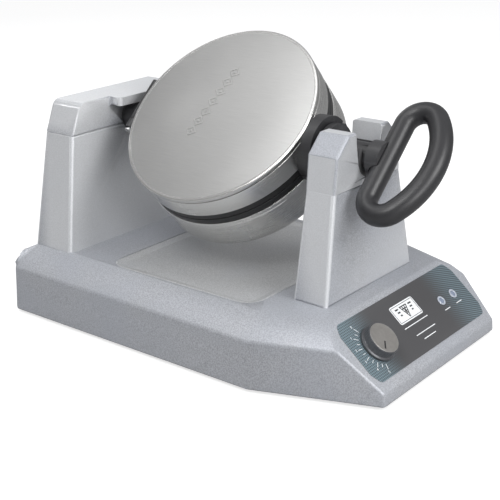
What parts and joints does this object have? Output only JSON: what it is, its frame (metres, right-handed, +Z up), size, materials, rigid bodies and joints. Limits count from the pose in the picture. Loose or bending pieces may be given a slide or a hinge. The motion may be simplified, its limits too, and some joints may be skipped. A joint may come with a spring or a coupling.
{
  "type": "rotary waffle cone maker",
  "caption": "Counter-top cone maker: a round two-plate drum on a level axle between two cast posts, turned by a D handle, over a bevelled base with a sloping control panel.",
  "frame": {"origin": "middle of the underside of the feet", "axes": "+Z up; front with the knob and the D handle towards -Y; +X to the right seen from the front; the drum's axle is parallel to Y"},
  "size_m": [0.326, 0.48, 0.3162],
  "materials": {
    "cast_silver": "painted silver, fine speckle",
    "tray_metal": "satin",
    "sheet_steel": "plain sheet",
    "drum_steel": "satin brushed",
    "carrier_steel": "satin",
    "fixings": "bright",
    "rubber": "matte",
    "band_black": "matte",
    "grip_plastic": "soft satin",
    "plate_iron": "seasoned",
    "element": "dull",
    "overlay": "printed film",
    "knob_grey": "satin",
    "knob_metal": "satin",
    "white_print": "matte",
    "lamp": "frosted",
    "bezel": "printed ring",
    "bearing_plastic": "smooth",
    "circuit": "board"
  },
  "bodies": {
    "base": {"base_casting": "cast_silver", "bottom_cover": "sheet_steel", "rubber_feet": "rubber", "foot_nuts": "fixings", "post_bolts": "fixings", "board_standoffs": "sheet_steel", "control_board": "circuit", "terminal_block": "circuit", "sounder": "circuit", "relay": "circuit", "cord_inlet": "bearing_plastic", "rear_post": "cast_silver", "rear_post_cap": "cast_silver", "front_post": "cast_silver", "front_post_cap": "cast_silver", "front_saddle_liner": "bearing_plastic", "rear_bush": "bearing_plastic", "plunger_sleeve": "fixings", "plunger_base": "fixings", "plunger_spring": "fixings", "panel_overlay": "overlay", "power_lamp": "lamp", "ready_lamp": "lamp", "power_bezel": "bezel", "ready_bezel": "bezel", "thermostat": "circuit"},
    "drum": {"lower_shell": "drum_steel", "lower_band": "band_black", "lower_plate": "plate_iron", "lower_element": "element", "lower_reflector": "sheet_steel", "lower_pillars": "sheet_steel", "lower_screws": "fixings", "rear_carrier": "carrier_steel", "rear_trunnion": "carrier_steel", "rear_collar": "band_black", "lower_front_collar": "grip_plastic", "front_journal": "grip_plastic", "handle_hub": "grip_plastic", "d_handle": "grip_plastic", "left_hinge_bracket": "carrier_steel", "right_hinge_bracket": "carrier_steel", "hinge_pin": "fixings"},
    "lid": {"lid_side": "drum_steel", "lid_top": "drum_steel", "upper_band": "band_black", "upper_plate": "plate_iron", "upper_element": "element", "upper_reflector": "sheet_steel", "upper_pillars": "sheet_steel", "lid_knuckle": "carrier_steel", "lid_lift_collar": "grip_plastic"},
    "knob": {"knob": "knob_grey", "knob_face": "knob_metal", "knob_pointer": "white_print", "knob_shaft": "fixings"},
    "tray": {"drip_tray": "tray_metal"},
    "plunger": {"plunger": "fixings"}
  },
  "joints": [
    {"name": "drum_rotation", "type": "hinge", "parent": "base", "child": "drum", "pos_m": [0, 0, 0.212], "axis": [0, 1, 0], "range_deg": [-138, 42]},
    {"name": "lid_opening", "type": "hinge", "parent": "drum", "child": "lid", "pos_m": [-0.01606, 0.155, 0.22984], "axis": [-0.7431, 0, -0.6691], "range_deg": [0, 95]},
    {"name": "knob_turn", "type": "hinge", "parent": "base", "child": "knob", "pos_m": [-0.0745, -0.20487, 0.0462], "axis": [0, -0.6457, 0.7636], "range_deg": [-270, 0]},
    {"name": "tray_lift", "type": "slide", "parent": "base", "child": "tray", "axis": [0, 0, 1], "range_m": [0, 0.008]},
    {"name": "plunger_slide", "type": "slide", "parent": "base", "child": "plunger", "axis": [0, 0, 1], "range_m": [-0.002, 0], "stiffness_N_per_m": 400, "springref_m": 0.004, "deforming": ["plunger_spring"]}
  ]
}
